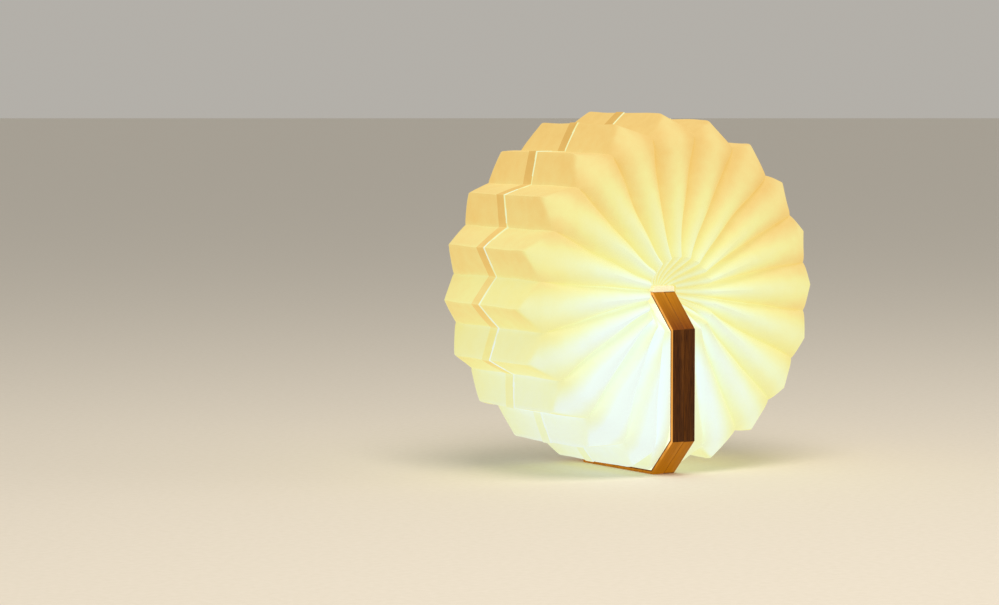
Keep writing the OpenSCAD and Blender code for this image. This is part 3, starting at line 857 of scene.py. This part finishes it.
def stray(place, size):
    """A slow wander of the paper, the same wherever two pleats meet, and none at the end sheets."""
    free = smoothstep(SHEET_X, SHEET_X + WANDER_START, abs(place.x)) if place.z < HINGE_Z else 1
    return noise.noise_vector(place / WANDER_SPACING) * size * free


def fold_sheet(paper, number):
    """Rows of points of one pleat's sheet, from valley to valley; the end ones run on to their covers."""
    leaves = [(number, number - 0.5), (number, number + 0.5)]
    if number == 0:
        leaves.insert(0, (-1, -0.5))
    if number == LAST:
        leaves.append((LAST + 1, LAST + 0.5))
    rows = []
    for row in fold_rows(paper):
        points = []
        for ridge_line, valley_line in leaves:
            leaf = leaf_row(paper, ridge_line, valley_line, row)
            if ridge_line > valley_line:
                leaf.reverse()
            points += leaf[1:] if points else leaf
        rows.append([place + stray(place, paper.unevenness) for place in points])
    return rows


# ---- paper: the light that comes through it ----

# Where it is brightest, on each side: by the lower half of the cover's inner face
GLOW_PLACE = (6.8 * MM, -13.4 * MM, 50 * MM)
GLOW_STRENGTH = {-1: 1.11, 1: 0.68}             # on the front cover's side, and on the rear cover's
GLOW_REACH = 99 * MM                # the distance at which it has dropped to 37 %
GLOW_BLEND = 72 * MM                # how far over the middle each side's light still has a part
GLOW_LEAST = 0.12                   # what is everywhere inside

# The sides of the pleats, which the light falls on: brighter on the ridges, most of all where it is dim
SIDE_GLOW = 1.07
SIDE_TILT = (0.2, 0.6)              # how much a side's normal points along the hinge
SIDE_FROM = (RIM_Y + 6 * MM, RIM_Y + 16 * MM)
RIDGE_GLOW = (0.33, 0.15)           # what a ridge gains and a valley loses, in dim and in bright light

# The rim: darker where it turns away from the light, with its creases picked out
RIM_GLOW = (0.6, 0.96)
CREASE_GLOW = 0.12
CREASE_FROM = 0.93                  # 1 is on a crease, and 0 is half-way between two

# The hub: painted shade, darker towards the hinge where the strap keeps the light off; it fades out from
# the hinge outwards
HUB_SHADE = 0.25
HUB_SHADE_REACH = (6 * MM, 26 * MM)

# The seam: less light through the lap, as it is two layers thick, and a bright line at its cut edge
LAP_LOSS = 0.15
CUT_EDGE = (-CUT_STRIP - 0.05 * MM, 0.05 * MM)
CUT_EDGE_GLOW = 0.4
SEAM_DEPTH = 2 * MM                 # how far inside the rim's valleys it still counts as the seam
INSIDE = 0.3                        # a face's corner is placed this share of the way to its middle for it

# The paper's thickness grows from a share of its own at the hinge to the whole at this distance
HUB_THICKNESS = 0.15
WHOLE_FROM = 45 * MM


def hinge_distance(place):
    """How far a place is from the hinge's line."""
    arm = place - HINGE
    return math.hypot(arm.x, arm.z)


def light_inside(place):
    """How much light reaches a place on the paper from inside."""
    x, y, z = GLOW_PLACE
    total = GLOW_LEAST
    for side, strength in GLOW_STRENGTH.items():
        distance = (place - Vector((side * x, y, z))).length
        share = smoothstep(-GLOW_BLEND, GLOW_BLEND, side * place.x)
        total += strength * share * math.exp(-(distance / GLOW_REACH) ** 2)
    return total


def glow_at(place, normal, turn):
    """How much light comes through the paper of the pleat whose ridge has this turn."""
    total = light_inside(place)
    arm = place - HINGE
    fold = math.cos(2 * math.pi * (math.atan2(arm.x, arm.z) - turn) / PITCH)
    beside = max(smoothstep(*SIDE_TILT, abs(normal.y)), smoothstep(*SIDE_FROM, abs(place.y)))
    side = SIDE_GLOW * (1 + lerp(*RIDGE_GLOW, total) * fold)
    x, z = GLOW_PLACE[0], GLOW_PLACE[2]
    away = Vector((place.x - math.copysign(x, place.x), 0, place.z - z)).normalized()
    rim = lerp(*RIM_GLOW, max(0, away.dot(normal))) + CREASE_GLOW * smoothstep(CREASE_FROM, 1, abs(fold))
    # painted shade by the hub, under the strap
    hub_shade = 1 - smoothstep(*HUB_SHADE_REACH, hinge_distance(place))
    return total * lerp(rim, side, beside) * (1 - HUB_SHADE * hub_shade)


def seam_glow(place, glow, paper):
    """What the seam makes of the light at a place."""
    if hinge_distance(place) < RIM_R - paper.rim_fold - SEAM_DEPTH:
        return glow
    cut, lap = CUT_EDGE
    if cut < place.y < lap:
        return glow + CUT_EDGE_GLOW
    if lap <= place.y < paper.lap:
        return glow - LAP_LOSS
    return glow


def light_paper(obj, paper, turn):
    """Stores, at each corner of each face, how brightly the paper there is lit from inside."""
    mesh = obj.data
    layer = mesh.attributes.new("glow", "FLOAT", "CORNER")
    values = []
    for face in mesh.polygons:
        for loop, place in corners(mesh, face):
            inside = place.lerp(face.center, INSIDE)
            glow = glow_at(place, mesh.corner_normals[loop].vector, turn)
            values.append(seam_glow(inside, glow, paper))
    layer.data.foreach_set("value", values)


# ---- paper: making it ----


def thickness_group(sheet):
    """The paper gets its whole thickness away from the hub, where the folds press together."""
    group = sheet.vertex_groups.new(name="thickness")
    for vertex in sheet.data.vertices:
        group.add([vertex.index], smoothstep(0, WHOLE_FROM, hinge_distance(vertex.co)), "REPLACE")


def face_outwards(sheet):
    """Merges a sheet's doubles and turns its faces the same way, with their fronts away from the hinge."""
    make_active(sheet)
    bpy.ops.object.mode_set(mode="EDIT")
    bpy.ops.mesh.select_all(action="SELECT")
    bpy.ops.mesh.remove_doubles(threshold=0.01 * MM)
    bpy.ops.mesh.normals_make_consistent(inside=False)
    bpy.ops.object.mode_set(mode="OBJECT")
    if sum(f.normal.dot(f.center - HINGE) * f.area for f in sheet.data.polygons) < 0:
        bpy.ops.object.mode_set(mode="EDIT")
        bpy.ops.mesh.select_all(action="SELECT")
        bpy.ops.mesh.flip_normals()
        bpy.ops.object.mode_set(mode="OBJECT")


def make_pleat(name, number, paper):
    """One pleat: a flat grid, folded, given its thickness and lit."""
    rows = fold_sheet(paper, number)
    deselect_all()
    bpy.ops.mesh.primitive_grid_add(x_subdivisions=len(rows[0]) - 1, y_subdivisions=len(rows) - 1, size=1)
    sheet = bpy.context.object
    sheet.name = sheet.data.name = name + "_paper"
    for vertex, place in zip(sheet.data.vertices, itertools.chain(*rows)):
        vertex.co = place
    face_outwards(sheet)
    thickness_group(sheet)
    modify(sheet, "SOLIDIFY", thickness=paper.thickness, offset=-1, use_even_offset=False,
           vertex_group="thickness", thickness_vertex_group=HUB_THICKNESS)
    sheet.vertex_groups.clear()
    smooth(sheet, SHARP_FOLD)
    light_paper(sheet, paper, PLEATS[name])
    return sheet


class LAMP_OT_paper(bpy.types.Operator):
    """Fold the paper's pleats and light them from inside"""

    bl_idname = "lamp.paper"
    bl_label = "Pleated paper"

    def execute(self, context):
        paper = context.scene.lamp_paper
        noise.seed_set(WANDER_SEED)
        material = pleated_paper(paper)
        for number, name in enumerate(PLEAT_NAMES):
            sheet = make_pleat(name, number, paper)
            put_on(sheet, material)
            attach(sheet, name)
            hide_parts(name)
            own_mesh(sheet)
        return {"FINISHED"}


# ---- fittings inside ----


class LAMP_OT_fittings(bpy.types.Operator):
    """Finish the fittings inside the covers and the spine"""

    bl_idname = "lamp.fittings"
    bl_label = "Fittings"

    def execute(self, context):
        for name, (light, dark, grain, values, nodes) in FITTINGS.items():
            material = fitting_finish(name, light, dark, grain, values)
            for node in nodes:
                put_on(frame["nodes"][node], material)
        return {"FINISHED"}


# ---- stage ----

FLOOR_SIZE = 60
ROOM_COLOUR, ROOM_STRENGTH = "f4efe6", 0.5
LIGHT_AIM = (0, 0, 0.1)

# Each light's place, size, power in watts and colour
LIGHTS = {
    "key": ((-0.35, -0.75, 1.5), 1.0, 16, "fff3e0"),
    "fill": ((1.2, -0.8, 0.7), 0.9, 2.5, "fff6ea"),
}


def floor_finish(stage):
    """Matt paper backdrop, painted pale: almost even, with a faint tooth."""
    tooth = 4 * MM                  # drawn far coarser than real, so that it shows
    material, tree, shader = new_material("backdrop_paper_pale", {"Roughness": 0.9})
    place = add_node(tree, "TexCoord").outputs["Object"]
    rough = add_node(tree, "TexNoise", {"Vector": place, "Scale": 1 / tooth, "Detail": 2}).outputs["Fac"]
    colour = add_node(tree, "ValToRGB", {"Fac": rough}, [
        (0.3, "e9e4da"), (0.7, stage.backdrop)]).outputs["Color"]
    set_inputs(tree, shader, {"Base Color": colour})
    return material


def add_to_scene(name, data, place, way):
    """Adds a light or a camera that looks along a way."""
    obj = bpy.data.objects.new(name, data)
    bpy.context.scene.collection.objects.link(obj)
    obj.location = place
    obj.rotation_euler = way.to_track_quat("-Z", "Y").to_euler()
    return obj


def set_floor(stage):
    deselect_all()
    bpy.ops.mesh.primitive_plane_add(size=FLOOR_SIZE, location=(0, 0, 0))
    floor = bpy.context.object
    floor.name = floor.data.name = "floor"
    put_on(floor, floor_finish(stage))


def set_camera(stage):
    a, e = stage.azimuth, stage.elevation
    back = Vector((math.sin(a) * math.cos(e), -math.cos(a) * math.cos(e), math.sin(e)))
    right = Vector((math.cos(a), math.sin(a), 0))
    up = right.cross(-back)
    camera = bpy.data.cameras.new("camera")
    camera.sensor_width = stage.sensor
    camera.lens = stage.focal
    camera.clip_end = 20
    place = HINGE + right * stage.aside + up * stage.above + back * stage.distance
    bpy.context.scene.camera = add_to_scene("camera", camera, place, -back)


def set_lights():
    for name, (place, size, power, colour) in LIGHTS.items():
        light = bpy.data.lights.new(name, "AREA")
        light.shape = "SQUARE"
        light.size = size
        light.energy = power
        light.color = rgb(colour)[:3]
        add_to_scene(name, light, place, Vector(LIGHT_AIM) - Vector(place))
    world = bpy.data.worlds.new("soft_room")
    world.use_nodes = True
    background = world.node_tree.nodes["Background"]
    set_inputs(world.node_tree, background, {"Color": rgb(ROOM_COLOUR), "Strength": ROOM_STRENGTH})
    bpy.context.scene.world = world
    bpy.context.scene.view_settings.view_transform = "Standard"


class LAMP_OT_stage(bpy.types.Operator):
    """Set the floor, the lights and the camera"""

    bl_idname = "lamp.stage"
    bl_label = "Stage"

    def execute(self, context):
        stage = context.scene.lamp_stage
        set_floor(stage)
        set_camera(stage)
        set_lights()
        return {"FINISHED"}


# ---- panel and running ----


OPERATORS = [LAMP_OT_stage, LAMP_OT_covers, LAMP_OT_spine, LAMP_OT_paper, LAMP_OT_fittings]


class LAMP_PT_panel(bpy.types.Panel):
    bl_label = "Book lamp"
    bl_idname = "LAMP_PT_panel"
    bl_space_type = "VIEW_3D"
    bl_region_type = "UI"
    bl_category = "Book lamp"

    def draw(self, context):
        for key, group in SETTINGS.items():
            for name in group.__annotations__:
                self.layout.prop(getattr(context.scene, key), name)
        for operator in OPERATORS:
            self.layout.operator(operator.bl_idname)


CLASSES = [*SETTINGS.values(), *OPERATORS, LAMP_PT_panel]


def register():
    for cls in CLASSES:
        bpy.utils.register_class(cls)
    for key, group in SETTINGS.items():
        setattr(bpy.types.Scene, key, PointerProperty(type=group))


def unregister():
    for key in SETTINGS:
        delattr(bpy.types.Scene, key)
    for cls in reversed(CLASSES):
        bpy.utils.unregister_class(cls)


def main():
    register()
    bpy.ops.lamp.stage()
    bpy.ops.lamp.covers()
    bpy.ops.lamp.spine()
    bpy.ops.lamp.paper()
    bpy.ops.lamp.fittings()


if __name__ == "__main__":
    main()
